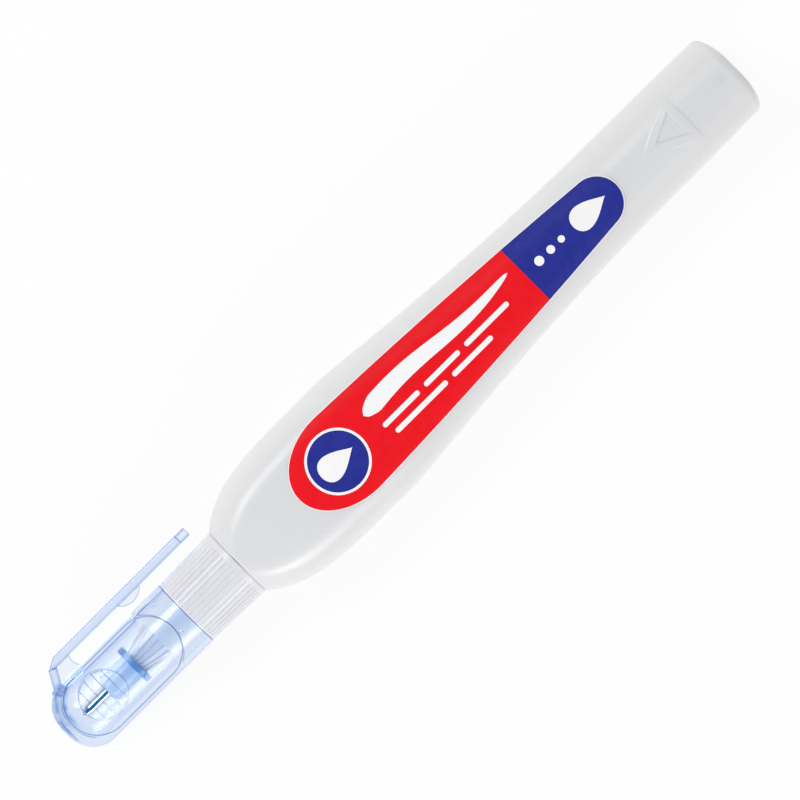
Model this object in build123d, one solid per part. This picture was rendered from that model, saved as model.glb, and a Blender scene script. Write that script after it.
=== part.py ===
from build123d import *
import os

# Squeeze-body correction pen, lying on its back with the label face up.
# It is drawn along X from the cap's tip, about the pen's axis, and moved to its place at the end.

# Running and seating clearances
seam_gap = 0.04
fit_clearance = 0.05
press_clearance = 0.01
seat_gap = 0.03
thread_clearance = 0.15
film_gap = 0.02

# Nozzle and tip, front to back
needle_protrusion = 0.5
tip_exposed = 4.6
boss_length = 5.2
rim_thickness = 0.9
cone_length = 4.9
spigot_length = 5.6
boss_diameter = 4.4
boss_edge_chamfer = 0.5
rim_diameter = 6.4
cone_neck_diameter = 4.0
nozzle_body_diameter = 7.0
flange_thickness = 1.2
plug_length = 4.8
flute_count = 20
flute_diameter = 0.4
flute_end_margin = 0.2

# Steel tip tube
tip_diameter = 1.6
tip_bore = 1.0
tip_seat_depth = 4.0
tip_nose_length = 0.9
tip_nose_diameter = 1.1
tip_lip_length = 0.6

# Valve inside the nozzle
needle_diameter = 0.6
needle_nose_length = 0.3
needle_nose_diameter = 0.3
needle_seat_depth = 2.4
seat_land = 1.6
seat_length = 0.9
chamber_diameter = 3.0
plunger_diameter = 2.4
plunger_length = 4.0
guide_diameter = 1.2
guide_length = 2.5
spring_wire = 0.3
spring_diameter = 2.2
spring_length = 5.5
spring_turns = 7
retainer_length = 2.0
retainer_hole = 0.9
retainer_slot_width = 0.7
retainer_slot_depth = 0.5
retainer_slot_count = 4

# Collar
collar_length = 10.6
collar_front_diameter = 11.4
collar_rear_diameter = 12.0
collar_lip = 1.6
collar_rim = 0.9
collar_front_band = 0.3
collar_groove_count = 45
collar_groove_diameter = 0.5
collar_groove_depth = 0.13

# Neck and its thread
neck_diameter = 8.2
neck_bore = 6.2
seal_thickness = 0.7
thread_pitch = 2.0
thread_height = 0.5
thread_base = 1.0
thread_crest = 0.5
thread_root_sink = 0.1
thread_lead_in = 0.8
neck_thread_turns = 2.2
collar_thread_turns = 2.0

# Bottle
bulb_from_shoulder = 27.5
taper_length = 55.6
tail_length = 20.9
bulb_width = 21.06
tail_width = 14.56
tail_end_width = 14.1
body_depth = 13.6
back_facet_depth = 0.1
bottle_wall = 0.9
shoulder_edge_radius = 0.5
tail_edge_radius = 1.3
tail_flat_width = 4.0
tail_sweep_radius = 12.2
panel_flat_width = 10.0
end_flat_width = 1.2
shoulder_sharpness = 5.2
taper_lead = 0.62
shoulder_section_count = 9
taper_section_count = 9
tail_section_count = 3
shoulder_crowding = 1.5

# Raised triangle frame and small nub near the tail
triangle_from_tail = 10.5
triangle_length = 8.9
triangle_width = 8.8
triangle_band = 1.3
triangle_relief = 0.09
nub_from_tail = 3.2
nub_length = 1.8
nub_width = 0.35

# Label film
label_from_shoulder = 13.0
label_bulb_end_length = 10.0
label_side_length = 52.2
label_width = 14.4
label_tail_width = 8.4
label_side_bow = 0.35
label_thickness = 0.15

# Mixing ball, which rests on the bottle's inner floor against the tail
ball_diameter = 4.5
ball_end_room = 0.8

# Cap
cap_diameter = 11.5
cap_wall = 0.9
cap_deep_wall = 1.25
cap_end_wall = 1.3
cap_corner_radius = 4.7
cap_tip_room = 2.4
cap_step_room = 0.6
pip_count = 5
pip_first_angle = 37
pip_diameter = 1.0
pip_height = 0.2
pip_from_mouth = 2.5

# Stadium panel and thumb grip on the cap
panel_width = 10.1
panel_from_tip = 1.8
panel_from_mouth = 2.8
panel_depth = 0.15
grip_from_tip = 8.2
grip_length = 7.7
grip_width = 7.1
grip_depth = 0.35
grip_rib_count = 4
grip_rib_pitch = 1.5
grip_rib_width = 0.5

# Pocket clip
clip_width = 3.4
clip_edge_radius = 0.4
clip_edge_steps = 3
clip_arm_thickness = 1.45
clip_reach = 9.3
clip_heel_from_tip = 3.0
clip_leg_thickness = 1.5
clip_lean_share = 0.57
clip_knee_share = 0.73
clip_knee_run_share = 0.5
clip_past_mouth = 8.5
clip_end_length = 1.8
clip_end_width = 1.6
clip_root_diameter = 0.8
clip_root_sink = 0.45
clip_web_length = 6.3
clip_web_thickness = 0.8
clip_web_hollow_share = 0.25
clip_bump_from_tip = 21.0
clip_bump_width = 4.6
clip_bump_share = 0.55
clip_bump_thickness = 1.0

# Stations along the pen, from the cap's tip
needle_front = cap_end_wall + cap_tip_room
tip_front = needle_front + needle_protrusion
boss_front = tip_front + tip_exposed
rim_front = boss_front + boss_length
cone_front = rim_front + rim_thickness
spigot_front = cone_front + cone_length
collar_front = spigot_front + spigot_length
shoulder = collar_front + collar_length
bulb = shoulder + bulb_from_shoulder
taper_end = bulb + taper_length
tail = taper_end + tail_length
flange_front = collar_front + collar_lip
flange_rear = flange_front + flange_thickness
neck_top = flange_rear + seal_thickness
tip_rear = boss_front + tip_seat_depth
seat_front = tip_rear + seat_land
plunger_front = seat_front + fit_clearance
plunger_shoulder = plunger_front + plunger_length
retainer_front = plunger_shoulder + spring_length
cap_mouth = collar_front - seam_gap
bottle_front = shoulder + seam_gap

# Depth from the pen's axis to the flat that it lies on
rest_depth = body_depth / 2 - back_facet_depth

# Radii that fit one another
cap_radius = cap_diameter / 2
cap_bore_radius = cap_radius - cap_wall
spigot_radius = cap_bore_radius - pip_height - fit_clearance
nozzle_radius = nozzle_body_diameter / 2
lip_radius = nozzle_radius + fit_clearance
neck_radius = neck_diameter / 2
neck_crest_radius = neck_radius + thread_height
collar_crest_radius = neck_radius + thread_clearance
collar_bore_radius = neck_crest_radius + thread_clearance
flange_radius = collar_crest_radius - fit_clearance
bore_radius = neck_bore / 2
plug_radius = bore_radius - fit_clearance
needle_radius = needle_diameter / 2
chamber_radius = chamber_diameter / 2
plunger_radius = plunger_diameter / 2
tip_radius = tip_diameter / 2

# Lines of the clip, seen from the label side
clip_foot = cap_radius - clip_root_sink
clip_rise = clip_reach - clip_foot
clip_arm_inside = clip_reach - clip_arm_thickness
clip_arm_middle = clip_reach - clip_arm_thickness / 2
clip_leg_inside = clip_heel_from_tip + clip_leg_thickness
clip_corner = clip_leg_inside + clip_lean_share * (clip_arm_inside - clip_foot)
clip_knee = clip_heel_from_tip + clip_lean_share * clip_knee_share * clip_rise
clip_elbow = clip_knee + clip_knee_run_share * clip_rise
clip_arm_end = cap_mouth + clip_past_mouth - clip_end_length


def turned(*points):
    """Solid of revolution about the pen's axis through (station, radius) points."""
    return revolve(make_face(Polyline(*points, close=True)), Axis.X)


def ring(start, end, inner, outer):
    """Plain tube about the pen's axis."""
    return turned((start, inner), (end, inner), (end, outer), (start, outer))


def thread(start, turns, root, crest):
    """Helical ridge about the pen's axis, outward or inward from its root radius."""
    path = Helix(thread_pitch, thread_pitch * turns, root, center=(start, 0, 0), direction=(1, 0, 0))
    outward = (path @ 0 - Vector(start, 0, 0)).normalized()
    plane = Plane(path @ 0, x_dir=outward, z_dir=outward.cross(Vector(1, 0, 0)))
    rise = crest - root
    sink = -thread_root_sink if rise > 0 else thread_root_sink
    outline = Polyline(
        (sink, -thread_base / 2),
        (rise, -thread_crest / 2),
        (rise, thread_crest / 2),
        (sink, thread_base / 2),
        close=True,
    )
    return sweep(plane * make_face(outline), path=path, is_frenet=True)


def swell(x):
    """How far the bottle has swelled at x: 0 at the neck and the tail, 1 at the bulb."""
    if x < bulb:
        return 1 - ((bulb - x) / bulb_from_shoulder) ** shoulder_sharpness
    part = min(1, (x - bulb) / taper_length) ** taper_lead
    return 1 - part * part * (3 - 2 * part)


def body_section(x, growth, shape_x):
    """Flattened oval across the bottle at x: two flats joined by half ellipses."""
    share = swell(shape_x)
    past_taper = max(0, (shape_x - taper_end) / tail_length)
    rear_width = tail_width - (tail_width - tail_end_width) * past_taper**2
    end_width = collar_rear_diameter if shape_x < bulb else rear_width
    end_depth = collar_rear_diameter if shape_x < bulb else body_depth
    half_width = (end_width + (bulb_width - end_width) * share) / 2 + growth
    half_depth = (end_depth + (body_depth - end_depth) * share) / 2 + growth
    flat = (end_flat_width + (panel_flat_width - end_flat_width) * share) / 2
    outline = [
        Line((-flat, -half_depth), (flat, -half_depth)),
        EllipticalCenterArc((flat, 0), half_width - flat, half_depth, -90, arc_size=180),
        Line((flat, half_depth), (-flat, half_depth)),
        EllipticalCenterArc((-flat, 0), half_width - flat, half_depth, 90, arc_size=180),
    ]
    plane = Plane((x, 0, 0), x_dir=(0, 1, 0), z_dir=(1, 0, 0))
    return plane * make_face(outline)


def bottle_form(growth, start, end):
    """Outside of the bottle, grown or shrunk all round, from start to end along the pen."""
    lag = -growth if growth < 0 else 0
    shoulder_run = bulb - start
    taper_run = taper_end - bulb
    tail_run = end - taper_end
    shares = [(i / shoulder_section_count) ** shoulder_crowding for i in range(shoulder_section_count)]
    stations = [start + shoulder_run * share for share in shares]
    stations += [bulb + taper_run * i / taper_section_count for i in range(taper_section_count)]
    stations += [taper_end + tail_run * i / tail_section_count for i in range(tail_section_count + 1)]
    return loft([body_section(x, growth, max(shoulder, x - lag)) for x in stations])


def ease_tail(form, end, radius):
    """Tail end of a form: flat in the middle, swept back at both sides, with a rounded rim."""
    flat = tail_flat_width / 2
    clear = end + flat
    sweep_start = end - tail_sweep_radius
    sweep_side = flat + tail_sweep_radius
    corner = make_face(
        [
            CenterArc((sweep_start, flat), tail_sweep_radius, 0, 90),
            Line((sweep_start, sweep_side), (clear, sweep_side)),
            Line((clear, sweep_side), (clear, flat)),
            Line((clear, flat), (end, flat)),
        ]
    )
    side = extrude(corner, body_depth, both=True)
    form = form - side - mirror(side, Plane.XZ)
    rim = form.edges().filter_by_position(Axis.X, sweep_start, end) - form.edges().filter_by(Axis.Z)
    return fillet(rim, radius)


def label_outline():
    """Label seen from above: half ellipse at the bulb, bowed sides and a round end."""
    bulb_end = shoulder + label_from_shoulder + label_bulb_end_length
    tail_end = bulb_end + label_side_length
    half = label_width / 2
    end_half = label_tail_width / 2
    middle = (bulb_end + tail_end) / 2
    bow = (half + end_half) / 2 + label_side_bow
    return make_face(
        [
            EllipticalCenterArc((bulb_end, 0), label_bulb_end_length, half, 90, arc_size=180),
            ThreePointArc((bulb_end, -half), (middle, -bow), (tail_end, -end_half)),
            EllipticalCenterArc((tail_end, 0), end_half, end_half, -90, arc_size=180),
            ThreePointArc((tail_end, end_half), (middle, bow), (bulb_end, half)),
        ]
    )


def make_bottle():
    """Hollow squeeze bottle with its threaded neck, raised triangle frame and nub."""
    body = ease_tail(bottle_form(0, bottle_front, tail), tail, tail_edge_radius)
    body = fillet(body.faces().sort_by(Axis.X)[0].edges(), shoulder_edge_radius)
    body = split(body, Plane.XY.offset(-rest_depth), keep=Keep.TOP)
    neck = ring(neck_top, bottle_front + bottle_wall, bore_radius, neck_radius)
    ridge = thread(neck_top + thread_lead_in, neck_thread_turns, neck_radius, neck_crest_radius)
    base = tail - triangle_from_tail
    triangle = make_face(
        Polyline(
            (base - triangle_length, 0),
            (base, -triangle_width / 2),
            (base, triangle_width / 2),
            close=True,
        )
    )
    frame = triangle - offset(triangle, -triangle_band, kind=Kind.INTERSECTION)
    nub = Pos(tail - nub_from_tail, 0) * SlotOverall(nub_length, nub_width)
    relief = extrude(frame + nub, body_depth) & bottle_form(triangle_relief, bottle_front, tail)
    cavity = bottle_form(-bottle_wall, bottle_front + bottle_wall, tail - bottle_wall)
    cavity = ease_tail(cavity, tail - bottle_wall, tail_edge_radius - bottle_wall)
    bore = ring(neck_top, bottle_front + 2 * bottle_wall, 0, bore_radius)
    return body + (neck + ridge) + relief - cavity - bore


def make_label():
    """Thin film that lies on the bottle's label face."""
    outside = bottle_form(film_gap + label_thickness, bottle_front, tail)
    inside = bottle_form(film_gap, bottle_front, tail)
    return (extrude(label_outline(), body_depth) & outside) - inside


def make_collar():
    """Ribbed screw ring with the spigot that takes the cap."""
    front_radius = collar_front_diameter / 2
    rear_radius = collar_rear_diameter / 2
    blank = turned(
        (spigot_front, lip_radius),
        (spigot_front, spigot_radius),
        (collar_front, spigot_radius),
        (collar_front, front_radius),
        (shoulder, rear_radius),
        (shoulder, collar_bore_radius),
        (flange_front, collar_bore_radius),
        (flange_front, lip_radius),
    )
    groove_lift = collar_groove_diameter / 2 - collar_groove_depth
    start = Vector(collar_front, front_radius + groove_lift, 0)
    slope = Vector(collar_length, rear_radius - front_radius, 0).normalized()
    groove_start = start + slope * collar_front_band
    groove_length = collar_length - collar_front_band - collar_rim
    groove = extrude(Plane(groove_start, z_dir=slope) * Circle(collar_groove_diameter / 2), groove_length)
    step = 360 / collar_groove_count
    grooves = [Rot(i * step, 0, 0) * groove for i in range(collar_groove_count)]
    ridge_start = neck_top + thread_lead_in + thread_pitch / 2
    ridge = thread(ridge_start, collar_thread_turns, collar_bore_radius, collar_crest_radius)
    return (blank - grooves) + ridge


def make_neck_seal():
    """Washer between the nozzle's flange and the top of the neck."""
    return ring(flange_rear, neck_top, bore_radius, neck_radius)


def make_nozzle():
    """Tip holder: boss, rim, fluted cone, body, clamped flange and plug, bored for the valve."""
    flange_face = flange_front + seat_gap
    plug_rear = flange_rear + plug_length
    boss_radius = boss_diameter / 2
    neck_start = cone_neck_diameter / 2
    blank = turned(
        (boss_front, tip_radius + press_clearance),
        (boss_front, boss_radius - boss_edge_chamfer),
        (boss_front + boss_edge_chamfer, boss_radius),
        (rim_front, boss_radius),
        (rim_front, rim_diameter / 2),
        (cone_front, rim_diameter / 2),
        (cone_front, neck_start),
        (spigot_front, nozzle_radius),
        (flange_face, nozzle_radius),
        (flange_face, flange_radius),
        (flange_rear, flange_radius),
        (flange_rear, plug_radius),
        (plug_rear, plug_radius),
        (plug_rear, chamber_radius),
        (seat_front + seat_length, chamber_radius),
        (seat_front, tip_bore / 2),
        (tip_rear, tip_bore / 2),
        (tip_rear, tip_radius + press_clearance),
    )
    slant = Vector(cone_length, nozzle_radius - neck_start, 0)
    along = slant.normalized()
    start = Vector(cone_front, neck_start, 0) + along * flute_end_margin
    flute_length = slant.length - 2 * flute_end_margin
    flute = extrude(Plane(start, z_dir=along) * Circle(flute_diameter / 2), flute_length)
    flutes = [Rot(i * 360 / flute_count, 0, 0) * flute for i in range(flute_count)]
    return blank - flutes


def make_metal_tip():
    """Steel tube with a tapered nose and a lip round the needle."""
    lip_bore = needle_radius + fit_clearance
    lip_end = tip_front + tip_lip_length
    return turned(
        (tip_front, lip_bore),
        (tip_front, tip_nose_diameter / 2),
        (tip_front + tip_nose_length, tip_radius),
        (tip_rear, tip_radius),
        (tip_rear, tip_bore / 2),
        (lip_end, tip_bore / 2),
        (lip_end, lip_bore),
    )


def make_valve_needle():
    """Thin pin with a blunt nose."""
    return turned(
        (needle_front, 0),
        (needle_front, needle_nose_diameter / 2),
        (needle_front + needle_nose_length, needle_radius),
        (plunger_front + needle_seat_depth, needle_radius),
        (plunger_front + needle_seat_depth, 0),
    )


def make_valve_plunger():
    """Plunger with a cone that closes the seat, a needle socket and a spring guide."""
    nose_radius = tip_bore / 2
    nose_length = (plunger_radius - nose_radius) * seat_length / (chamber_radius - nose_radius)
    socket_radius = needle_radius + press_clearance
    socket_end = plunger_front + needle_seat_depth + press_clearance
    guide_end = plunger_shoulder + guide_length
    return turned(
        (socket_end, 0),
        (socket_end, socket_radius),
        (plunger_front, socket_radius),
        (plunger_front, nose_radius),
        (plunger_front + nose_length, plunger_radius),
        (plunger_shoulder, plunger_radius),
        (plunger_shoulder, guide_diameter / 2),
        (guide_end, guide_diameter / 2),
        (guide_end, 0),
    )


def make_valve_spring():
    """Open coil between the plunger's shoulder and the retainer."""
    end_room = spring_wire / 2 + seat_gap
    height = spring_length - 2 * end_room
    start = plunger_shoulder + end_room
    mean_radius = (spring_diameter - spring_wire) / 2
    path = Helix(height / spring_turns, height, mean_radius, center=(start, 0, 0), direction=(1, 0, 0))
    wire = Plane(path @ 0, z_dir=path % 0) * Circle(spring_wire / 2)
    return sweep(wire, path=path, is_frenet=True)


def make_spring_retainer():
    """Slotted plug pressed into the nozzle behind the spring."""
    radius = chamber_radius - press_clearance
    plug = ring(retainer_front, retainer_front + retainer_length, retainer_hole / 2, radius)
    middle = retainer_front + retainer_length / 2
    slot = Pos(middle, radius, 0) * Box(retainer_length, 2 * retainer_slot_depth, retainer_slot_width)
    return plug - [Rot(i * 360 / retainer_slot_count, 0, 0) * slot for i in range(retainer_slot_count)]


def make_mixing_ball():
    """Steel ball on the bottle's inner floor, near the tail."""
    radius = ball_diameter / 2
    station = tail - bottle_wall - ball_end_room - radius
    height = bottle_wall - body_depth / 2 + fit_clearance + radius
    return Pos(station, 0, height) * Sphere(radius)


def cap_form(inset):
    """Outside of the cap, with its rounded end, or the same form drawn in all round."""
    form = ring(inset, cap_mouth, 0, cap_radius - inset)
    return fillet(form.edges().sort_by(Axis.X)[0], cap_corner_radius - inset)


def cap_skin(depth):
    """Outer layer of the cap, as deep as a shallow feature on it."""
    return cap_form(0) - cap_form(depth)


def make_cap():
    """Push-on cap with its rounded end, grip pips, panel, thumb grip and clip root groove."""
    step = spigot_front - cap_step_room
    cavity = ring(cap_end_wall, cap_mouth, 0, cap_radius - cap_deep_wall)
    cavity = fillet(cavity.edges().sort_by(Axis.X)[0], cap_corner_radius - cap_deep_wall)
    shell = cap_form(0) - cavity
    shell -= ring(step, cap_mouth, 0, cap_bore_radius)
    panel = Pos((panel_from_tip + cap_mouth - panel_from_mouth) / 2, 0) * SlotOverall(
        cap_mouth - panel_from_mouth - panel_from_tip, panel_width
    )
    grip = Pos(grip_from_tip, 0) * Ellipse(grip_length / 2, grip_width / 2)
    first_rib = grip_from_tip - grip_rib_pitch * (grip_rib_count - 1) / 2
    for i in range(grip_rib_count):
        grip -= Pos(first_rib + i * grip_rib_pitch, 0) * Rectangle(grip_rib_width, grip_width)
    shell -= extrude(panel, cap_radius, both=True) & cap_skin(panel_depth)
    shell -= extrude(grip, cap_radius) & cap_skin(grip_depth)
    pip_radius = pip_diameter / 2
    pip = Pos(cap_mouth - pip_from_mouth, cap_bore_radius + pip_radius - pip_height, 0) * Sphere(pip_radius)
    shell += [Rot(pip_first_angle + i * 360 / pip_count, 0, 0) * pip for i in range(pip_count)]
    return shell - clip_root(clip_root_diameter / 2 + seat_gap, clip_width + 2 * seat_gap)


def clip_root(radius, width):
    """Round bead along the clip's heel, half sunk in the cap."""
    heel = Pos(clip_heel_from_tip, clip_foot, 0)
    return heel * Cylinder(radius, width)


def clip_side(inset):
    """Outline of the clip's leaning leg and straight arm, drawn in all round by the inset."""
    foot = clip_foot - clip_edge_radius
    lean_back = clip_lean_share * clip_edge_radius
    corners = [
        Vector(clip_heel_from_tip - lean_back, foot),
        Vector(clip_leg_inside - lean_back, foot),
        Vector(clip_corner, clip_arm_inside),
        Vector(clip_arm_end, clip_arm_inside),
        Vector(clip_arm_end, clip_reach),
        Vector(clip_elbow, clip_reach),
        Vector(clip_knee, clip_foot + clip_knee_share * clip_rise),
    ]
    drawn = []
    for i, corner in enumerate(corners):
        arriving = (corner - corners[i - 1]).normalized()
        leaving = (corners[(i + 1) % len(corners)] - corner).normalized()
        inward = (arriving + leaving).rotate(Axis.Z, 90)
        drawn.append(corner + inward * (inset / (1 + arriving.dot(leaving))))
    return make_face(Polyline(*drawn, close=True))


def clip_bar():
    """Leg and arm of the clip as one bar, with its long edges rounded."""
    straight = clip_width / 2 - clip_edge_radius
    shares = [(i / clip_edge_steps) ** 0.5 for i in range(clip_edge_steps + 1)]
    levels = [(straight + clip_edge_radius * s, clip_edge_radius * (1 - (1 - s * s) ** 0.5)) for s in shares]
    below = [Pos(0, 0, -height) * clip_side(inset) for height, inset in reversed(levels)]
    above = [Pos(0, 0, height) * clip_side(inset) for height, inset in levels]
    return loft(below + above, ruled=True)


def make_clip():
    """Pocket clip: leaning leg, straight arm, narrow end, thin web in the elbow and a half-disc bump."""
    end_start = clip_arm_end - clip_edge_radius
    end_length = clip_end_length + clip_edge_radius
    end_block = Box(end_length, clip_arm_thickness, clip_end_width)
    clip = clip_bar() + Pos(end_start + end_length / 2, clip_arm_middle, 0) * end_block
    leg_middle = clip_heel_from_tip + clip_leg_thickness / 2
    web_end = clip_heel_from_tip + clip_web_length
    web_waist = web_end - clip_web_hollow_share * clip_rise
    web_middle = (clip_foot + clip_arm_middle) / 2
    web = make_face(
        [
            Line((leg_middle, clip_foot), (web_end, clip_foot)),
            ThreePointArc((web_end, clip_foot), (web_waist, web_middle), (web_end, clip_arm_middle)),
            Line((web_end, clip_arm_middle), (clip_corner, clip_arm_middle)),
            Line((clip_corner, clip_arm_middle), (leg_middle, clip_foot)),
        ]
    )
    clip += extrude(web, clip_web_thickness / 2, both=True)
    bump_height = clip_bump_share * (clip_arm_inside - cap_radius)
    half_chord = clip_bump_width / 2
    bump_radius = (half_chord**2 + bump_height**2) / (2 * bump_height)
    bump = Pos(clip_bump_from_tip, clip_arm_inside - bump_height + bump_radius, 0)
    bump_disc = bump * Cylinder(bump_radius, clip_bump_thickness)
    arm_side = Pos(clip_bump_from_tip, clip_arm_inside, 0) * Box(
        clip_bump_width, 2 * bump_height, clip_bump_thickness
    )
    clip += bump_disc & arm_side
    clip -= cap_form(-seat_gap)
    return clip + clip_root(clip_root_diameter / 2, clip_width)


parts = {
    "bottle": make_bottle(),
    "front_label": make_label(),
    "collar": make_collar(),
    "neck_seal": make_neck_seal(),
    "nozzle": make_nozzle(),
    "metal_tip": make_metal_tip(),
    "valve_needle": make_valve_needle(),
    "valve_plunger": make_valve_plunger(),
    "valve_spring": make_valve_spring(),
    "spring_retainer": make_spring_retainer(),
    "mixing_ball": make_mixing_ball(),
    "cap": make_cap(),
    "clip": make_clip(),
}

os.makedirs("parts", exist_ok=True)
place = Pos(-tail / 2, 0, rest_depth)
for name, shape in parts.items():
    export_step(place * shape, f"parts/{name}.step")
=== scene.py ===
import math

import bpy
from mathutils import Matrix, Vector
from mathutils.geometry import delaunay_2d_cdt


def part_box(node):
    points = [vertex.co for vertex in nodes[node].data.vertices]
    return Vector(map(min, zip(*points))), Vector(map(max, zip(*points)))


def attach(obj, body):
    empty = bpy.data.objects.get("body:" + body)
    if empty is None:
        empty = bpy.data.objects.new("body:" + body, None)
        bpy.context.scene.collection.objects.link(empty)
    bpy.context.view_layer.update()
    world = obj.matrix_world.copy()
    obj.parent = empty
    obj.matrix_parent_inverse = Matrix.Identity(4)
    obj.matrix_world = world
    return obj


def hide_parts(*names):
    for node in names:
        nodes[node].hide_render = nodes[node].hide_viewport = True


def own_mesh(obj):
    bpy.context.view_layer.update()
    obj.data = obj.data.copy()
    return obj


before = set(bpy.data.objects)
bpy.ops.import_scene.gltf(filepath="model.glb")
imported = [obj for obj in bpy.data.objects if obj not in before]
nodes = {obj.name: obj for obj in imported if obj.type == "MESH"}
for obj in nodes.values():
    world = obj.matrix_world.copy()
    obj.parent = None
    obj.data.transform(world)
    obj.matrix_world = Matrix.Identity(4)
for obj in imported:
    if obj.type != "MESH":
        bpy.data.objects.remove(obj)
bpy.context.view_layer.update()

MM = 0.001

# The bottle's outside, in millimetres from the cap's tip along the pen, about its axis
TAIL = 140.0
AXIS_HEIGHT = 6.7
SHOULDER = 36.0
BULB = 63.5
TAPER_LENGTH = 55.6
COLLAR_WIDTH = 12.0
BULB_WIDTH = 21.06
TAIL_WIDTH = 14.56
BODY_DEPTH = 13.6
PANEL_FLAT = 10.0
END_FLAT = 1.2
SHOULDER_SHARPNESS = 5.2
TAPER_LEAD = 0.62


def swell(x):
    """How far the bottle has swelled at x: 0 at the neck and the tail, 1 at the bulb."""
    if x < BULB:
        return 1 - ((BULB - x) / (BULB - SHOULDER)) ** SHOULDER_SHARPNESS
    part = min(1, (x - BULB) / TAPER_LENGTH) ** TAPER_LEAD
    return 1 - part * part * (3 - 2 * part)


def bottle_point(x, y, growth):
    """Point over (x, y) on the bottle's label face, grown all round, in metres."""
    share = swell(x)
    end_width = COLLAR_WIDTH if x < BULB else TAIL_WIDTH
    end_depth = COLLAR_WIDTH if x < BULB else BODY_DEPTH
    half_width = (end_width + (BULB_WIDTH - end_width) * share) / 2 + growth
    half_depth = (end_depth + (BODY_DEPTH - end_depth) * share) / 2 + growth
    flat = (END_FLAT + (PANEL_FLAT - END_FLAT) * share) / 2
    across = max(0, abs(y) - flat) / (half_width - flat)
    z = half_depth * math.sqrt(1 - across * across)
    return Vector(((x - TAIL / 2) * MM, y * MM, (z + AXIS_HEIGHT) * MM))


# Node helpers

# Noise values seldom leave the range from low to high
NOISE_LOW = 0.3
NOISE_HIGH = 0.7
NOISE_DETAIL = 3


def material(name):
    """New material, with its node tree and its Principled shader."""
    made = bpy.data.materials.new(name)
    made.use_nodes = True
    tree = made.node_tree
    return made, tree, tree.nodes["Principled BSDF"]


def calc(tree, operation, *values):
    """One step of arithmetic on numbers or node outputs."""
    node = tree.nodes.new("ShaderNodeMath")
    node.operation = operation
    for socket, value in zip(node.inputs, values):
        if isinstance(value, (int, float)):
            socket.default_value = value
        else:
            tree.links.new(value, socket)
    return node.outputs[0]


def minus(tree, a, b):
    """Difference of two values."""
    return calc(tree, "SUBTRACT", a, b)


def times(tree, first, *others):
    """Product of values."""
    for other in others:
        first = calc(tree, "MULTIPLY", first, other)
    return first


def largest(tree, first, *others):
    """Largest of values."""
    for other in others:
        first = calc(tree, "MAXIMUM", first, other)
    return first


def smallest(tree, first, *others):
    """Smallest of values."""
    for other in others:
        first = calc(tree, "MINIMUM", first, other)
    return first


def length(tree, a, b):
    """Length of a flat vector."""
    return calc(tree, "SQRT", calc(tree, "ADD", times(tree, a, a), times(tree, b, b)))


def near_zero(tree, distance, width):
    """1 where the distance is 0, falling to 0 at the width on both sides."""
    away = calc(tree, "DIVIDE", calc(tree, "ABSOLUTE", distance), width)
    return largest(tree, minus(tree, 1, away), 0)


def spread(tree, value, start, end, low=0, high=1, smooth=False):
    """Low where the value is at the start, high at the end, and level beyond both."""
    node = tree.nodes.new("ShaderNodeMapRange")
    if smooth:
        node.interpolation_type = "SMOOTHSTEP"
    node.inputs["From Min"].default_value = start
    node.inputs["From Max"].default_value = end
    node.inputs["To Min"].default_value = low
    node.inputs["To Max"].default_value = high
    tree.links.new(value, node.inputs["Value"])
    return node.outputs["Result"]


def ranged(tree, value, low, high):
    """Noise value spread over low to high."""
    return spread(tree, value, NOISE_LOW, NOISE_HIGH, low, high)


def noise(tree, scale, detail=NOISE_DETAIL, stretch=(1, 1, 1)):
    """Noise in the object's own frame, with features of about 1 / scale metres."""
    place = tree.nodes.new("ShaderNodeTexCoord")
    mapping = tree.nodes.new("ShaderNodeMapping")
    mapping.inputs["Scale"].default_value = stretch
    texture = tree.nodes.new("ShaderNodeTexNoise")
    texture.inputs["Scale"].default_value = scale
    texture.inputs["Detail"].default_value = detail
    tree.links.new(place.outputs["Object"], mapping.inputs["Vector"])
    tree.links.new(mapping.outputs["Vector"], texture.inputs["Vector"])
    return texture.outputs["Fac"]


def pen_axes(tree):
    """Millimetres along the pen from the cap's tip, towards the clip and up from the axis."""
    place = tree.nodes.new("ShaderNodeTexCoord").outputs["Object"]
    axes = tree.nodes.new("ShaderNodeSeparateXYZ")
    tree.links.new(place, axes.inputs[0])
    x = calc(tree, "ADD", calc(tree, "DIVIDE", axes.outputs["X"], MM), TAIL / 2)
    y = calc(tree, "DIVIDE", axes.outputs["Y"], MM)
    z = minus(tree, calc(tree, "DIVIDE", axes.outputs["Z"], MM), AXIS_HEIGHT)
    return x, y, z


def blended(tree, factor, start, end):
    """Colour from start to end by a factor, each a plain colour or a node output."""
    mix = tree.nodes.new("ShaderNodeMix")
    mix.data_type = "RGBA"
    tree.links.new(factor, mix.inputs["Factor"])
    for socket, colour in ((mix.inputs["A"], start), (mix.inputs["B"], end)):
        if isinstance(colour, tuple):
            socket.default_value = (*colour, 1)
        else:
            tree.links.new(colour, socket)
    return mix.outputs["Result"]


def tinted(tree, shader, factor, colour):
    """Base colour drawn towards another one by a factor."""
    base = shader.inputs["Base Color"]
    tree.links.new(blended(tree, factor, base.links[0].from_socket, colour), base)


def mottled(tree, shader, value, dark, light):
    """Base colour that wanders between two near shades."""
    colour = blended(tree, ranged(tree, value, 0, 1), dark, light)
    tree.links.new(colour, shader.inputs["Base Color"])


def bumped(tree, shader, layers):
    """Relief from layers of (value, height in metres), each on top of what is there."""
    normal = shader.inputs["Normal"]
    for value, height in layers:
        bump = tree.nodes.new("ShaderNodeBump")
        bump.inputs["Strength"].default_value = 1
        bump.inputs["Distance"].default_value = height
        tree.links.new(value, bump.inputs["Height"])
        if normal.is_linked:
            tree.links.new(normal.links[0].from_socket, bump.inputs["Normal"])
        tree.links.new(bump.outputs["Normal"], normal)


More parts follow.
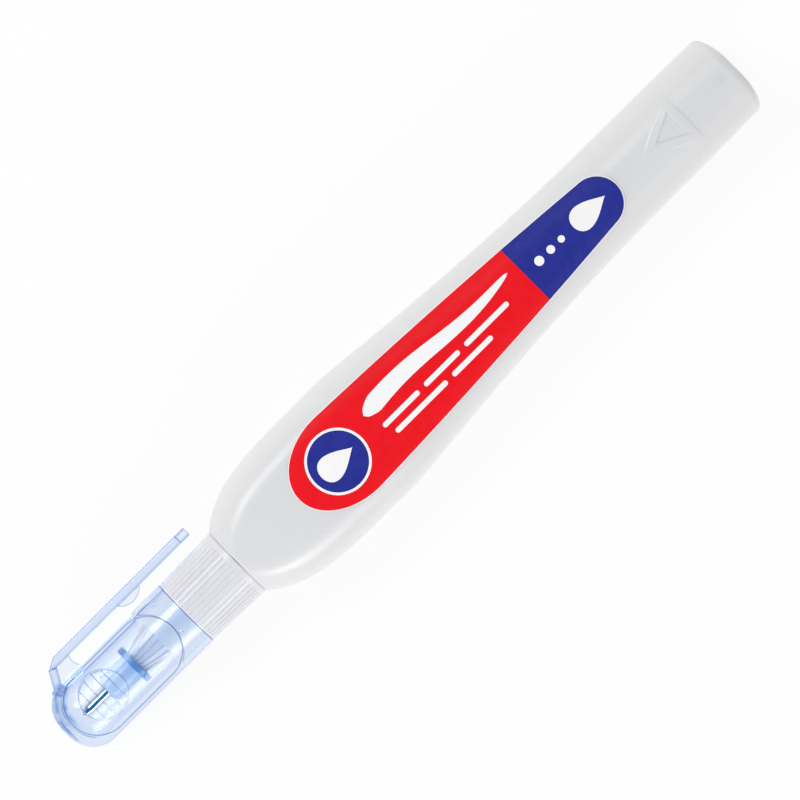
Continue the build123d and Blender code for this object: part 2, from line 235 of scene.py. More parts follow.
def mixed(tree, factor, first, second):
    """Shader from first to second by a factor."""
    mix = tree.nodes.new("ShaderNodeMixShader")
    for socket, value in zip(mix.inputs, (factor, first, second)):
        tree.links.new(value, socket)
    return mix.outputs[0]


# Materials of the solids: noise scales are per metre, relief heights in metres

GLOSS_TO_CLOUD = 3
GRAIN_DETAIL = 2
RIPPLE_DETAIL = 1

# Masks reach this far past a face, in millimetres, so that the face itself is in them
PAST_FACE = 0.02


def plastic(name, dark, light, roughness, cloud, grain, ripple=None):
    """Moulded plastic: cloudy colour, uneven gloss, fine grain and, if given, slow ripples."""
    made, tree, shader = material(name)
    mottled(tree, shader, noise(tree, cloud), dark, light)
    gloss = noise(tree, cloud * GLOSS_TO_CLOUD)
    tree.links.new(ranged(tree, gloss, *roughness), shader.inputs["Roughness"])
    layers = [(noise(tree, grain[0], GRAIN_DETAIL), grain[1])]
    if ripple:
        layers.append((noise(tree, ripple[0], RIPPLE_DETAIL), ripple[1]))
    bumped(tree, shader, layers)
    return made, tree, shader


def let_light_in(shader, share, depths, ior):
    """Light that goes a little way into a plastic, in metres for red, green and blue."""
    shader.inputs["Subsurface Weight"].default_value = share
    shader.inputs["Subsurface Radius"].default_value = depths
    shader.inputs["Subsurface Scale"].default_value = 1
    shader.inputs["IOR"].default_value = ior


METAL_LINES = 900
METAL_DETAIL = 4
METAL_RELIEF = 2e-6


def metal(name, dark, light, roughness, stretch):
    """Drawn or turned metal with fine lines."""
    made, tree, shader = material(name)
    lines = noise(tree, METAL_LINES, METAL_DETAIL, stretch)
    mottled(tree, shader, lines, dark, light)
    tree.links.new(ranged(tree, lines, *roughness), shader.inputs["Roughness"])
    bumped(tree, shader, [(lines, METAL_RELIEF)])
    shader.inputs["Metallic"].default_value = 1
    return made


# The raised triangle near the tail
TRIANGLE_TIP = 120.6
TRIANGLE_BASE = 129.5
TRIANGLE_HALF = 4.4
TRIANGLE_BAND = 1.3
SOFT_EDGE = 0.35
SOFT_EDGE_HEIGHT = 0.00006

# Painted light: the faces that meet at the collar's seam are paler, to lift the shade in the gap so
# that the seam stays soft
COLLAR_REAR = 35.96
SEAM_REACH = 0.06
SEAM_PAINTED_LIGHT = (0.97, 0.97, 0.97)


def soft_triangle(tree, shader, x, y, z):
    """Soft edges round the solid's own triangle frame, fading towards its base."""
    rise = TRIANGLE_BASE - TRIANGLE_TIP
    slant = math.hypot(rise, TRIANGLE_HALF)
    along = times(tree, minus(tree, x, TRIANGLE_TIP), TRIANGLE_HALF / slant)
    across = times(tree, calc(tree, "ABSOLUTE", y), rise / slant)
    within = smallest(tree, minus(tree, along, across), minus(tree, TRIANGLE_BASE, x))
    to_band = calc(tree, "ABSOLUTE", minus(tree, within, TRIANGLE_BAND / 2))
    into_band = minus(tree, TRIANGLE_BAND / 2 + SOFT_EDGE / 2, to_band)
    slope = spread(tree, into_band, 0, SOFT_EDGE, smooth=True)
    label_side = calc(tree, "GREATER_THAN", z, 0)
    from_base = spread(tree, x, TRIANGLE_BASE, TRIANGLE_BASE - TRIANGLE_BAND)
    bumped(tree, shader, [(times(tree, slope, label_side, from_base), SOFT_EDGE_HEIGHT)])


def make_bottle_material():
    """Satin white bottle."""
    made, tree, shader = plastic(
        "bottle_polyethylene",
        dark=(0.735, 0.735, 0.742),
        light=(0.755, 0.755, 0.76),
        roughness=(0.28, 0.33),
        cloud=60,
        grain=(400, 4e-6),
        ripple=(70, 2e-5),
    )
    let_light_in(shader, share=0.25, depths=(0.0012, 0.0011, 0.001), ior=1.51)
    x, y, z = pen_axes(tree)
    soft_triangle(tree, shader, x, y, z)
    # Painted light at the collar's seam, lifting the shade of the gap
    tinted(tree, shader, near_zero(tree, minus(tree, x, SHOULDER), SEAM_REACH), SEAM_PAINTED_LIGHT)
    return made


def white_plastic(name, dark, light):
    """Glossy white moulding that lets a little light in."""
    made, tree, shader = plastic(
        name, dark, light, roughness=(0.26, 0.34), cloud=160, grain=(900, 2e-6)
    )
    let_light_in(shader, share=0.35, depths=(0.0009, 0.0009, 0.0009), ior=1.49)
    return made, tree, shader


# The collar's spigot, inside the cap, is smoother than its ribbed grip, and is painted paler:
# painted light that lifts the shade it gets under the cap
COLLAR_FRONT = 25.38
SPIGOT_PAINTED_LIGHT = (0.84, 0.86, 0.89)


def make_white_material():
    """White of the collar and the spring retainer, with painted light on the spigot and at the
    seam.
    """
    made, tree, shader = white_plastic(
        "white_polypropylene", dark=(0.73, 0.73, 0.775), light=(0.76, 0.76, 0.80)
    )
    x = pen_axes(tree)[0]
    # Painted light: everything in front of the collar's front face, the spigot and the spring
    # retainer, is paler
    tinted(tree, shader, calc(tree, "LESS_THAN", x, COLLAR_FRONT), SPIGOT_PAINTED_LIGHT)
    # Painted light on the collar's rear face at the seam, lifting the shade of the gap
    tinted(tree, shader, near_zero(tree, minus(tree, x, COLLAR_REAR), SEAM_REACH), SEAM_PAINTED_LIGHT)
    return made


# Painted shade: the tip holder is tinted blue in front of its fluted cone, most of all on its rim,
# for the shade it gets inside the blue cap
BOSS_RIM = 14.0
CONE_FRONT = 14.9
BOSS_PAINTED_SHADE = (0.60, 0.73, 0.90)
RIM_PAINTED_SHADE = (0.15, 0.34, 0.62)


def make_nozzle_material():
    """White of the tip holder, with painted blue shade at its front."""
    made, tree, shader = white_plastic(
        "nozzle_polypropylene", dark=(0.79, 0.79, 0.82), light=(0.81, 0.81, 0.84)
    )
    x = pen_axes(tree)[0]
    in_front = calc(tree, "LESS_THAN", x, CONE_FRONT + PAST_FACE)
    behind_boss = calc(tree, "GREATER_THAN", x, BOSS_RIM - PAST_FACE)
    # Painted shade on the boss, deepest on its rim
    tinted(tree, shader, in_front, BOSS_PAINTED_SHADE)
    tinted(tree, shader, times(tree, in_front, behind_boss), RIM_PAINTED_SHADE)
    return made


# Clear blue cap and clip

CLEAR_DARK = (0.94, 0.965, 1.0)
CLEAR_LIGHT = (0.97, 0.985, 1.0)
CLEAR_CLOUD = 140
CLEAR_GLOSS = 500
CLEAR_ROUGHNESS = (0.03, 0.07)
CLEAR_WAVES = 220
CLEAR_IOR = 1.36
TURNED_BLEND = 0.35
TURNED_SHARE = 0.6
TURNED_COLOUR = (0.25, 0.48, 0.88)
DEPTH_COLOUR = (0.28, 0.50, 0.90)
PASSING_COLOUR = (0.965, 0.975, 0.99)
DEEPEST_BEND = 4.5

# Depth of colour for each metre, and height of the moulding's slow waves
CAP_DENSITY = 60
CAP_WAVE_HEIGHT = 2e-5
CLIP_DENSITY = 115
CLIP_WAVE_HEIGHT = 3e-6


def clear_blue(name, density, wave_height):
    """Clear blue moulding, tinted through its thickness and deeper where it turns away."""
    made, tree, shader = material(name)
    mottled(tree, shader, noise(tree, CLEAR_CLOUD), CLEAR_DARK, CLEAR_LIGHT)
    gloss = ranged(tree, noise(tree, CLEAR_GLOSS), *CLEAR_ROUGHNESS)
    tree.links.new(gloss, shader.inputs["Roughness"])
    bumped(tree, shader, [(noise(tree, CLEAR_WAVES, RIPPLE_DETAIL), wave_height)])
    shader.inputs["Transmission Weight"].default_value = 1
    shader.inputs["IOR"].default_value = CLEAR_IOR
    turned = tree.nodes.new("ShaderNodeLayerWeight")
    turned.inputs["Blend"].default_value = TURNED_BLEND
    tinted(tree, shader, times(tree, turned.outputs["Facing"], TURNED_SHARE), TURNED_COLOUR)
    absorb = tree.nodes.new("ShaderNodeVolumeAbsorption")
    absorb.inputs["Color"].default_value = (*DEPTH_COLOUR, 1)
    absorb.inputs["Density"].default_value = density
    end = tree.nodes["Material Output"]
    tree.links.new(absorb.outputs["Volume"], end.inputs["Volume"])
    passing = tree.nodes.new("ShaderNodeBsdfTransparent")
    passing.inputs["Color"].default_value = (*PASSING_COLOUR, 1)
    path = tree.nodes.new("ShaderNodeLightPath")
    deep = calc(tree, "GREATER_THAN", path.outputs["Ray Depth"], DEEPEST_BEND)
    straight = largest(tree, path.outputs["Is Shadow Ray"], path.outputs["Is Diffuse Ray"], deep)
    surface = mixed(tree, straight, shader.outputs[0], passing.outputs[0])
    tree.links.new(surface, end.inputs["Surface"])
    return made, tree, shader


def outside_of(tree, x, y, circle):
    """Distance outside a circle given as centre and radius."""
    reach = length(tree, minus(tree, x, circle[0]), minus(tree, y, circle[1]))
    return minus(tree, reach, circle[2])


def left_of(tree, x, y, start, end):
    """Distance to the left of the line from start to end."""
    run = Vector(end) - Vector(start)
    away = Vector((-run.y, run.x)).normalized()
    along = calc(tree, "ADD", times(tree, x, away.x), times(tree, y, away.y))
    return minus(tree, along, away.dot(Vector(start)))


# The cap's panel, thumb grip and mouth, in the same measures as the bottle
PANEL_ENDS = (6.85, 17.51)
PANEL_RADIUS = 5.05
CAP_MOUTH = 25.30
GRIP_CENTRE = 8.2
GRIP_HALF_LENGTH = 3.85
GRIP_HALF_WIDTH = 3.55
GRIP_RIB_PITCH = 1.5
GRIP_LINE_FAINT = 0.15
GRIP_LINE_CLEAR = 0.8
# Painted shade: the grip's hollow is bluer, and dark lines are painted along the moulded edges
GRIP_HOLLOW_PAINTED_SHADE = (0.86, 0.92, 0.99)
EDGE_LINE = 0.13
EDGE_LINE_PAINTED_SHADE = (0.0, 0.09, 0.42)

# Where the cap is bluer: its end, and as painted shade a band along its middle and a round streak
# on the clip's side.
# END, BAND, SIDE and FADE are where a tint starts and is full, and the streak's circle is centre
# and radius.
CAP_END = (5.0, 1.0)
CAP_END_COLOUR = (0.83, 0.90, 0.98)
CAP_BAND_HALF = 3.4
CAP_BAND = (7.0, 13.0)
CAP_BAND_PAINTED_SHADE = (0.68, 0.80, 0.97)
CAP_STREAK = (6.3, 0.1, 5.75)
CAP_STREAK_WIDTH = 0.95
CAP_STREAK_SIDE = (-1.8, 0.8)
CAP_STREAK_FADE = (5.4, 3.6)
CAP_STREAK_BREAKS = 700
CAP_STREAK_BREAKS_DETAIL = 2
CAP_STREAK_STRENGTH = (0.4, 1.5)
CAP_STREAK_PAINTED_SHADE = (0.06, 0.24, 0.60)


def cap_lines(tree, x, y, label_side):
    """Masks of the lines of painted shade along the edges, the panel's, the grip's and the mouth's,
    the grip's fainter towards one side, and of the grip's hollow.
    """
    middle = sum(PANEL_ENDS) / 2
    run = (PANEL_ENDS[1] - PANEL_ENDS[0]) / 2
    beyond = minus(tree, calc(tree, "ABSOLUTE", minus(tree, x, middle)), run)
    from_core = length(tree, largest(tree, beyond, 0), y)
    panel = near_zero(tree, minus(tree, from_core, PANEL_RADIUS), EDGE_LINE)
    from_grip = minus(tree, x, GRIP_CENTRE)
    along = calc(tree, "DIVIDE", from_grip, GRIP_HALF_LENGTH)
    across = calc(tree, "DIVIDE", y, GRIP_HALF_WIDTH)
    outside = times(tree, minus(tree, length(tree, along, across), 1), GRIP_HALF_WIDTH)
    hollow = times(tree, calc(tree, "LESS_THAN", outside, 0), label_side)
    half_pitch = GRIP_RIB_PITCH / 2
    from_rib = calc(tree, "PINGPONG", calc(tree, "ADD", from_grip, half_pitch), half_pitch)
    rim = near_zero(tree, outside, EDGE_LINE)
    ribs = times(tree, near_zero(tree, from_rib, EDGE_LINE), hollow)
    clearness = spread(tree, y, -GRIP_HALF_WIDTH, GRIP_HALF_WIDTH, GRIP_LINE_FAINT, GRIP_LINE_CLEAR)
    grip = times(tree, largest(tree, rim, ribs), clearness)
    moulded = times(tree, largest(tree, panel, grip), label_side)
    mouth = near_zero(tree, minus(tree, x, CAP_MOUTH), EDGE_LINE)
    return largest(tree, moulded, mouth), hollow


def make_cap_material():
    """Clear blue of the cap, with painted shade in a band, a streak, the grip's hollow and lines
    along its moulded edges.
    """
    made, tree, shader = clear_blue("cap_clear_blue", CAP_DENSITY, CAP_WAVE_HEIGHT)
    x, y, z = pen_axes(tree)
    label_side = calc(tree, "GREATER_THAN", z, 0)
    tinted(tree, shader, spread(tree, x, *CAP_END), CAP_END_COLOUR)
    # Painted shade: a bluer band along the middle of the label side
    band = times(tree, near_zero(tree, y, CAP_BAND_HALF), spread(tree, x, *CAP_BAND), label_side)
    tinted(tree, shader, band, CAP_BAND_PAINTED_SHADE)
    # Painted shade: a broken blue streak near the outline on the clip's side
    breaks = noise(tree, CAP_STREAK_BREAKS, CAP_STREAK_BREAKS_DETAIL)
    streak = times(
        tree,
        near_zero(tree, outside_of(tree, x, y, CAP_STREAK), CAP_STREAK_WIDTH),
        spread(tree, y, *CAP_STREAK_SIDE),
        spread(tree, x, *CAP_STREAK_FADE),
        ranged(tree, breaks, *CAP_STREAK_STRENGTH),
    )
    tinted(tree, shader, streak, CAP_STREAK_PAINTED_SHADE)
    edges, hollow = cap_lines(tree, x, y, label_side)
    # Painted shade in the grip's hollow
    tinted(tree, shader, hollow, GRIP_HOLLOW_PAINTED_SHADE)
    # Painted shade: dark lines along the moulded edges
    tinted(tree, shader, edges, EDGE_LINE_PAINTED_SHADE)
    return made


# The clip's outline and the lines where shade is painted on it, in the same measures, with circles
# as centre and radius
CLIP_HEEL = (3.0, 5.3)
CLIP_KNEE = (4.66, 8.22)
CLIP_ELBOW = (6.66, 9.3)
CLIP_LEG_INSIDE = (4.5, 5.3)
CLIP_CORNER = (5.95, 7.85)
CLIP_ARM_END = (32.06, 33.86)
CLIP_BUMP = (21.0, 9.563, 2.868)
CLIP_WEB = (10.141, 6.938, 1.841)
CLIP_ROOT = (4.2, 5.1, 0.0)
CLIP_ROOT_REACH = 1.2
CLIP_EDGE = 0.5
CLIP_EDGE_PAINTED_SHADE = (0.36, 0.50, 0.82)
CLIP_LINE = 0.2
CLIP_CREASE_AND_ROOT_PAINTED_SHADE = (0.02, 0.24, 0.55)


def clip_lines(tree):
    """Masks of the clip's edges and of its crease and root, for painted shade."""
    x, y, _ = pen_axes(tree)
    outer = smallest(
        tree,
        minus(tree, CLIP_ELBOW[1], y),
        left_of(tree, x, y, CLIP_ELBOW, CLIP_KNEE),
        left_of(tree, x, y, CLIP_KNEE, CLIP_HEEL),
    )
    from_leg = left_of(tree, x, y, CLIP_LEG_INSIDE, CLIP_CORNER)
    inner = largest(tree, minus(tree, y, CLIP_CORNER[1]), from_leg)
    on_bar = calc(tree, "GREATER_THAN", inner, -PAST_FACE)
    sides = largest(tree, near_zero(tree, outer, CLIP_EDGE), near_zero(tree, inner, CLIP_EDGE))
    ends = [near_zero(tree, minus(tree, x, end), CLIP_LINE) for end in CLIP_ARM_END]
    rounds = [outside_of(tree, x, y, circle) for circle in (CLIP_BUMP, CLIP_WEB)]
    curves = [near_zero(tree, distance, CLIP_LINE) for distance in rounds]
    thin = times(tree, largest(tree, *curves), minus(tree, 1, on_bar))
    edges = largest(tree, times(tree, sides, on_bar), thin, *ends)
    crease = near_zero(tree, left_of(tree, x, y, CLIP_KNEE, CLIP_CORNER), CLIP_LINE)
    crease = times(tree, crease, calc(tree, "LESS_THAN", x, CLIP_CORNER[0]))
    root = near_zero(tree, outside_of(tree, x, y, CLIP_ROOT), CLIP_ROOT_REACH)
    return edges, largest(tree, crease, root)


def make_clip_material():
    """Clear blue of the clip, with painted shade on its edges, crease and root."""
    made, tree, shader = clear_blue("clip_clear_blue", CLIP_DENSITY, CLIP_WAVE_HEIGHT)
    edges, painted_shade_places = clip_lines(tree)
    # Painted shade along the clip's edges
    tinted(tree, shader, edges, CLIP_EDGE_PAINTED_SHADE)
    # Painted shade in the clip's crease and at its root
    tinted(tree, shader, painted_shade_places, CLIP_CREASE_AND_ROOT_PAINTED_SHADE)
    return made


white_material = make_white_material()
steel_material = metal(
    "steel_drawn",
    dark=(0.58, 0.59, 0.61),
    light=(0.72, 0.73, 0.75),
    roughness=(0.08, 0.16),
    stretch=(0.05, 1, 1),
)
brass_material = metal(
    "brass_turned",
    dark=(0.66, 0.50, 0.22),
    light=(0.76, 0.60, 0.30),
    roughness=(0.18, 0.30),
    stretch=(1, 0.05, 0.05),
)
seal_material = plastic(
    "seal_rubber_black",
    dark=(0.11, 0.11, 0.12),
    light=(0.17, 0.17, 0.18),
    roughness=(0.6, 0.75),
    cloud=400,
    grain=(9000, 8e-6),
)[0]

looks = {
    "bottle": make_bottle_material(),
    "collar": white_material,
    "nozzle": make_nozzle_material(),
    "spring_retainer": white_material,
    "neck_seal": seal_material,
    "metal_tip": steel_material,
    "valve_needle": steel_material,
    "mixing_ball": steel_material,
    "valve_plunger": brass_material,
    "cap": make_cap_material(),
    "clip": make_clip_material(),
}
for name, look in looks.items():
    nodes[name].material_slots[0].material = look


# Label: one closed film, with its inks as zones of the same mesh

INK_CLOUD = 700
INK_CLOUD_DETAIL = 5
INK_GLOSS = 1500
INK_ROUGHNESS = (0.38, 0.50)
INK_GRAIN = 4000
INK_GRAIN_HEIGHT = 1.5e-6
INK_SPECULAR = 0.1


def ink(name, dark, light):
    """Printed film: a thin, slightly uneven layer of ink under a soft gloss."""
    made, tree, shader = material(name)
    mottled(tree, shader, noise(tree, INK_CLOUD, INK_CLOUD_DETAIL), dark, light)
    gloss = ranged(tree, noise(tree, INK_GLOSS), *INK_ROUGHNESS)
    tree.links.new(gloss, shader.inputs["Roughness"])
    bumped(tree, shader, [(noise(tree, INK_GRAIN, GRAIN_DETAIL), INK_GRAIN_HEIGHT)])
    shader.inputs["Specular IOR Level"].default_value = INK_SPECULAR
    return made


# Inks in the order of the numbers FILM, RED, BLUE and WHITE
FILM, RED, BLUE, WHITE = range(4)
inks = (
    ink("label_film_pale", (0.86, 0.80, 0.80), (0.90, 0.85, 0.85)),
    ink("label_ink_red", (0.84, 0.007, 0.014), (0.88, 0.010, 0.018)),
    ink("label_ink_blue", (0.019, 0.028, 0.265), (0.025, 0.036, 0.300)),
    ink("label_ink_white", (0.92, 0.92, 0.93), (0.95, 0.95, 0.955)),
)

# The label's outline, in the same measures as the bottle
LABEL_FRONT = 49.0
LABEL_BULB_END = 59.0
LABEL_TAIL_END = 111.2
LABEL_HALF = 7.2
LABEL_MIDDLE_HALF = 6.05
LABEL_TAIL_HALF = 4.2
LABEL_BORDER = 0.17
LABEL_SPLIT = 96.3
LABEL_UNDERSIDE = 0.03
LABEL_TOP = 0.16
LABEL_GRID = 0.6
MERGE_DISTANCE = 1e-5

# Points along the outlines
BULB_STEPS = 60
SIDE_STEPS = 90
END_STEPS = 48
SPLIT_STEPS = 24
BAR_STEPS = 14
DISC_STEPS = 64
DOT_STEPS = 32
DROP_STEPS = 56
STROKE_STEPS = 60

# Shapes of the drop and the stroke
DROP_TAPER = 1.4
DROP_SLIMNESS = 1.6
STROKE_START = 0.08
STROKE_ROUNDING = 0.5
STROKE_THINNING = 0.45


def arc_points(centre, radii, start, sweep, count):
    """Points along an ellipse's arc, in degrees, without the last one."""
    made = []
    for i in range(count):
        angle = math.radians(start + sweep * i / count)
        x = centre[0] + radii[0] * math.cos(angle)
        y = centre[1] + radii[1] * math.sin(angle)
        made.append((x, y))
    return made


def bowed_side(x):
    """Half width of the label along its bowed sides, a parabola through three points."""
    part = (x - LABEL_BULB_END) / (LABEL_TAIL_END - LABEL_BULB_END)
    bow = LABEL_MIDDLE_HALF - (LABEL_HALF + LABEL_TAIL_HALF) / 2
    return LABEL_HALF + (LABEL_TAIL_HALF - LABEL_HALF) * part + 4 * bow * part * (1 - part)


def label_outline(inset):
    """Label seen from above: half ellipse at the bulb, bowed sides and a round end."""
    run = (LABEL_TAIL_END - LABEL_BULB_END) / SIDE_STEPS
    side = [LABEL_BULB_END + i * run for i in range(SIDE_STEPS)]
    end = LABEL_TAIL_HALF - inset
    bulb_radii = (LABEL_BULB_END - LABEL_FRONT - inset, LABEL_HALF - inset)
    return (
        arc_points((LABEL_BULB_END, 0), bulb_radii, 90, 180, BULB_STEPS)
        + [(x, inset - bowed_side(x)) for x in side]
        + arc_points((LABEL_TAIL_END, 0), (end, end), -90, 180, END_STEPS)
        + [(x + run, bowed_side(x + run) - inset) for x in reversed(side)]
    )


def bar(x0, x1, y, width):
    """Stripe with round ends along the pen."""
    radius = width / 2
    tail_end = arc_points((x1 - radius, y), (radius, radius), -90, 180, BAR_STEPS)
    return tail_end + arc_points((x0 + radius, y), (radius, radius), 90, 180, BAR_STEPS)


def disc(x, y, radius, count=DISC_STEPS):
    """Round spot."""
    return arc_points((x, y), (radius, radius), 0, 360, count)


def droplet(x, y, long, wide):
    """Drop that lies along the pen, with its point towards the tail."""
    made = []
    for i in range(DROP_STEPS):
        angle = 2 * math.pi * i / DROP_STEPS
        taper = math.sin(angle / 2) ** DROP_TAPER
        half = math.sin(angle) * taper * wide / DROP_SLIMNESS
        made.append((x + math.cos(angle) * long / 2, y + half))
    return made


def stroke(x0, x1, y, width, sway):
    """Wavy painted stroke that thins out towards the tail."""
    upper, lower = [], []
    for i in range(STROKE_STEPS + 1):
        part = i / STROKE_STEPS
        middle = y + sway * math.sin(2 * math.pi * part)
        swelling = min(1, part / STROKE_START) ** STROKE_ROUNDING * (1 - part) ** STROKE_THINNING
        half = width / 2 * swelling
        x = x0 + (x1 - x0) * part
        upper.append((x, middle + half))
        lower.append((x, middle - half))
    return lower + upper[-2:0:-1]


red_zone = label_outline(LABEL_BORDER)
split_half = bowed_side(LABEL_SPLIT) - LABEL_BORDER
split_line = [(LABEL_SPLIT, split_half * (1 - 2 * i / SPLIT_STEPS)) for i in range(SPLIT_STEPS + 1)]
blue_zone = [(x, y) for x, y in red_zone if x > LABEL_SPLIT] + split_line

# Zones in painting order: each later one covers the ones before it. Discs are given by x, y and
# radius, drops by x, y, length and width, bars by start, end, y and width, and the stroke by the
# same and its sway.
zones = [
    (RED, red_zone),
    (BLUE, blue_zone),
    (WHITE, disc(57.2, 0, 5.0)),
    (BLUE, disc(57.2, 0, 4.6)),
    (WHITE, droplet(57.0, 0, 6.4, 4.6)),
    (WHITE, stroke(64.6, 94.6, 2.1, 3.0, 0.5)),
    (WHITE, bar(65.6, 73.0, -1.1, 0.8)),
    (WHITE, bar(74.2, 81.4, -1.1, 0.8)),
    (WHITE, bar(82.6, 91.6, -1.1, 0.8)),
    (WHITE, bar(66.4, 77.0, -3.0, 0.8)),
    (WHITE, bar(78.2, 86.4, -3.0, 0.8)),
    (WHITE, disc(99.2, 0, 0.75, DOT_STEPS)),
    (WHITE, disc(101.6, 0, 0.65, DOT_STEPS)),
    (WHITE, disc(103.8, 0, 0.55, DOT_STEPS)),
    (WHITE, droplet(109.6, 0, 6.6, 4.4)),
]


def inside(point, outline):
    """Whether a point lies inside a closed outline."""
    x, y = point
    found = False
    for (x0, y0), (x1, y1) in zip(outline, outline[1:] + outline[:1]):
        if (y0 > y) != (y1 > y) and x < x0 + (y - y0) * (x1 - x0) / (y1 - y0):
            found = not found
    return found


def flat_label():
    """The label laid flat: its points, its triangles and the ink of each triangle."""
    rim = label_outline(0)
    points, edges = [], []
    for outline in [rim] + [outline for _, outline in zones]:
        first = len(points)
        points += [Vector(p) for p in outline]
        count = len(outline)
        edges += [(first + i, first + (i + 1) % count) for i in range(count)]
    across = int(LABEL_HALF / LABEL_GRID)
    along = int((LABEL_TAIL_END + LABEL_TAIL_HALF - LABEL_FRONT) / LABEL_GRID)
    for i in range(along + 1):
        for j in range(-across, across + 1):
            spot = (LABEL_FRONT + i * LABEL_GRID, (j + 0.5 * (i % 2)) * LABEL_GRID)
            if inside(spot, rim):
                points.append(Vector(spot))
    flat, _, triangles = delaunay_2d_cdt(points, edges, [], 0, MERGE_DISTANCE)[:3]
    kept, kinds = [], []
    for triangle in triangles:
        centre = sum((flat[i] for i in triangle), Vector((0, 0))) / 3
        if inside(centre, rim):
            kept.append(tuple(triangle))
            covering = (kind for kind, outline in reversed(zones) if inside(centre, outline))
            kinds.append(next(covering, FILM))
    return flat, kept, kinds


# Edges that turn by more than this stay sharp
SHARP_EDGE = math.radians(40)


def finished(mesh):
    """Mesh as a piece of the scene, smooth but for its sharp edges."""
    for polygon in mesh.polygons:
        polygon.use_smooth = True
    mesh.set_sharp_from_angle(angle=SHARP_EDGE)
    mesh.validate()
    made = bpy.data.objects.new(mesh.name, mesh)
    bpy.context.scene.collection.objects.link(made)
    return made


def make_label():
    """The film as one closed mesh over the bottle, with a material for each ink."""
    flat, kept, kinds = flat_label()
    used = sorted({i for triangle in kept for i in triangle})
    order = {old: new for new, old in enumerate(used)}
    tops = [bottle_point(*flat[i], LABEL_TOP) for i in used]
    bottoms = [bottle_point(*flat[i], LABEL_UNDERSIDE) for i in used]
    count = len(used)
    upper = [tuple(order[i] for i in triangle) for triangle in kept]
    sides = [side for triangle in upper for side in zip(triangle, triangle[1:] + triangle[:1])]
    shared = set(sides)
    border = [(a, b) for a, b in sides if (b, a) not in shared]
    faces = upper + [tuple(i + count for i in reversed(triangle)) for triangle in upper]
    faces += [(b, a, a + count, b + count) for a, b in border]
    mesh = bpy.data.meshes.new("label_print")
    mesh.from_pydata(tops + bottoms, [], faces)
    for look in inks:
        mesh.materials.append(look)
    for polygon, kind in zip(mesh.polygons, kinds + [FILM] * (len(faces) - len(kinds))):
        polygon.material_index = kind
    return finished(mesh)


label = make_label()
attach(label, "bottle")
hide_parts("front_label")


# Valve spring: the solid's coil as a mesh of its own, carried by the nozzle's body

SPRING_WIRE = 0.3
SPRING_TURNS = 7
COIL_STEPS = 32
WIRE_SIDES = 12


def make_spring():
    """Open coil in the solid's place, as one closed tube."""
    low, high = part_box("valve_spring")
    wire = SPRING_WIRE / 2 * MM
    start, rise = low[0] + wire, high[0] - low[0] - 2 * wire
    radius = (high[1] - low[1]) / 2 - wire
    lead = rise / (2 * math.pi * SPRING_TURNS * radius)
    count = SPRING_TURNS * COIL_STEPS
    points, faces = [], []
    for i in range(count + 1):
        angle = 2 * math.pi * i / COIL_STEPS
        outward = Vector((0, math.cos(angle), math.sin(angle)))
        along = Vector((lead, -math.sin(angle), math.cos(angle))).normalized()
        side = along.cross(outward)
        centre = Vector((start + rise * i / count, 0, AXIS_HEIGHT * MM)) + outward * radius
        for j in range(WIRE_SIDES):
            turn = 2 * math.pi * j / WIRE_SIDES
            points.append(centre + (outward * math.cos(turn) + side * math.sin(turn)) * wire)
    for i in range(count):
        for j in range(WIRE_SIDES):
            a = i * WIRE_SIDES + j
            b = i * WIRE_SIDES + (j + 1) % WIRE_SIDES
            faces.append((a, b, b + WIRE_SIDES, a + WIRE_SIDES))
    last = count * WIRE_SIDES
    faces += [tuple(reversed(range(WIRE_SIDES))), tuple(range(last, last + WIRE_SIDES))]
    mesh = bpy.data.meshes.new("coil_spring")
    mesh.from_pydata(points, [], faces)
    mesh.materials.append(steel_material)
    return finished(mesh)


spring = make_spring()
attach(spring, "nozzle")
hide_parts("valve_spring")
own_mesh(spring)


# Stage, light and camera, in metres

FLOOR_HALF = 1.6
FLOOR_DROP = 0.00005
FLOOR_COLOUR = (0.95, 0.95, 0.95)
FLOOR_WHITE_SHARE = 0.9
SEEN_RAYS = ("Is Camera Ray", "Is Glossy Ray", "Is Transmission Ray")


def seen(tree):
    """1 for rays that end in the picture, straight, mirrored or through the cap, and else 0."""
    path = tree.nodes.new("ShaderNodeLightPath")
    return largest(tree, *(path.outputs[ray] for ray in SEEN_RAYS))


def make_floor():
    """Pale floor that keeps the pen's shadow and is nearly white in the picture."""
    made, tree, shader = material("floor_white")
    tree.nodes.remove(shader)
    diffuse = tree.nodes.new("ShaderNodeBsdfDiffuse")
    diffuse.inputs["Color"].default_value = (*FLOOR_COLOUR, 1)
    glow = tree.nodes.new("ShaderNodeEmission")
    share = times(tree, seen(tree), FLOOR_WHITE_SHARE)
    surface = mixed(tree, share, diffuse.outputs[0], glow.outputs[0])
    tree.links.new(surface, tree.nodes["Material Output"].inputs["Surface"])
    signs = ((-1, -1), (1, -1), (1, 1), (-1, 1))
    corners = [(x * FLOOR_HALF, y * FLOOR_HALF, -FLOOR_DROP) for x, y in signs]
    mesh = bpy.data.meshes.new("floor")
    mesh.from_pydata(corners, [], [(0, 1, 2, 3)])
    mesh.materials.append(made)
    floor = bpy.data.objects.new("floor", mesh)
    bpy.context.scene.collection.objects.link(floor)
    return floor


floor = make_floor()

# Light from all round, and what mirrors and the clear cap show of the studio, by height from 0 at
# the horizon to 1 overhead
WALLS = (0.93, 0.93, 0.93)
CEILING = (0.34, 0.34, 0.34)
WALL_HEIGHTS = (0, 1)
SEEN_WALLS = (1, 1, 1)
SEEN_CEILING = (0.03, 0.22, 0.48)
SEEN_WALL_HEIGHTS = (0.42, 0.72)


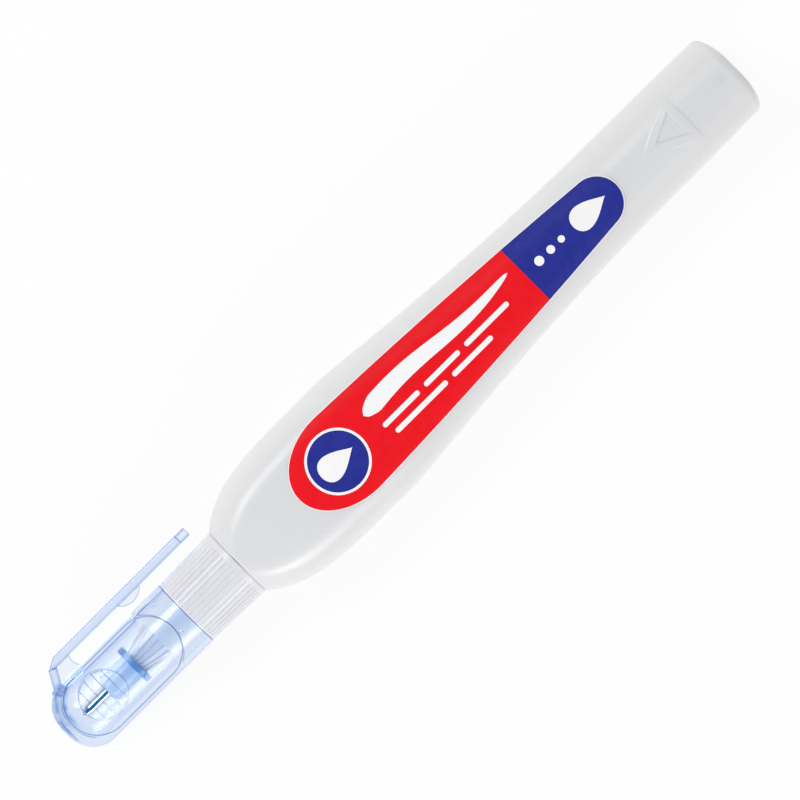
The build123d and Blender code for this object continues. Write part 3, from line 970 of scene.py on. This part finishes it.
def make_world():
    """Studio with pale walls and a darker ceiling."""
    world = bpy.data.worlds.new("studio")
    bpy.context.scene.world = world
    world.use_nodes = True
    tree = world.node_tree
    up = tree.nodes.new("ShaderNodeSeparateXYZ")
    tree.links.new(tree.nodes.new("ShaderNodeTexCoord").outputs["Generated"], up.inputs[0])
    height = up.outputs["Z"]
    fill = tree.nodes["Background"]
    fill_rise = spread(tree, height, *WALL_HEIGHTS)
    tree.links.new(blended(tree, fill_rise, WALLS, CEILING), fill.inputs["Color"])
    shown = tree.nodes.new("ShaderNodeBackground")
    shown_rise = spread(tree, height, *SEEN_WALL_HEIGHTS)
    tree.links.new(blended(tree, shown_rise, SEEN_WALLS, SEEN_CEILING), shown.inputs["Color"])
    surface = mixed(tree, seen(tree), fill.outputs[0], shown.outputs[0])
    tree.links.new(surface, tree.nodes["World Output"].inputs["Surface"])


make_world()


def placed(place, right, up, back):
    """Matrix of a lamp or camera at a place, looking away from back."""
    return Matrix.Translation(place) @ Matrix((right, up, back)).transposed().to_4x4()


SOFT_BOX_SIZE = (0.34, 0.22)


def soft_box(name, place, watts):
    """Long soft box that points at the middle of the pen, out of the camera's sight."""
    lamp = bpy.data.lights.new(name, "AREA")
    lamp.shape = "RECTANGLE"
    lamp.size, lamp.size_y = SOFT_BOX_SIZE
    lamp.energy = watts
    made = bpy.data.objects.new(name, lamp)
    back = (Vector(place) - Vector((0, 0, AXIS_HEIGHT * MM))).normalized()
    up = back.cross(Vector((1, 0, 0))).normalized()
    made.matrix_world = placed(place, up.cross(back), up, back)
    made.visible_camera = False
    bpy.context.scene.collection.objects.link(made)


soft_box("clip_side_box", place=(-0.11, 0.36, 0.46), watts=1.5)
soft_box("grip_side_box", place=(-0.22, -0.50, 0.24), watts=1.4)

# The photograph's view: straight down on the pen, turned in the picture
PIXELS = 800
PIXEL_MM = 0.14862
PEN_TILT = math.radians(44.904)
CAMERA_DISTANCE = 1.3
CAMERA_REACH = 10
SENSOR_MM = 36
FRAME_OFFSET_MM = (0.10, 0.047)
right = Vector((math.cos(PEN_TILT), -math.sin(PEN_TILT), 0))
up = Vector((math.sin(PEN_TILT), math.cos(PEN_TILT), 0))
spot = (right * FRAME_OFFSET_MM[0] + up * FRAME_OFFSET_MM[1]) * MM
spot.z = AXIS_HEIGHT * MM + CAMERA_DISTANCE
camera = bpy.data.objects.new("camera", bpy.data.cameras.new("camera"))
camera.data.sensor_width = SENSOR_MM
camera.data.lens = SENSOR_MM * CAMERA_DISTANCE / (PIXELS * PIXEL_MM * MM)
camera.data.clip_end = CAMERA_REACH
camera.matrix_world = placed(spot, right, up, Vector((0, 0, 1)))
bpy.context.scene.collection.objects.link(camera)
bpy.context.scene.camera = camera
bpy.context.scene.view_settings.view_transform = "Standard"
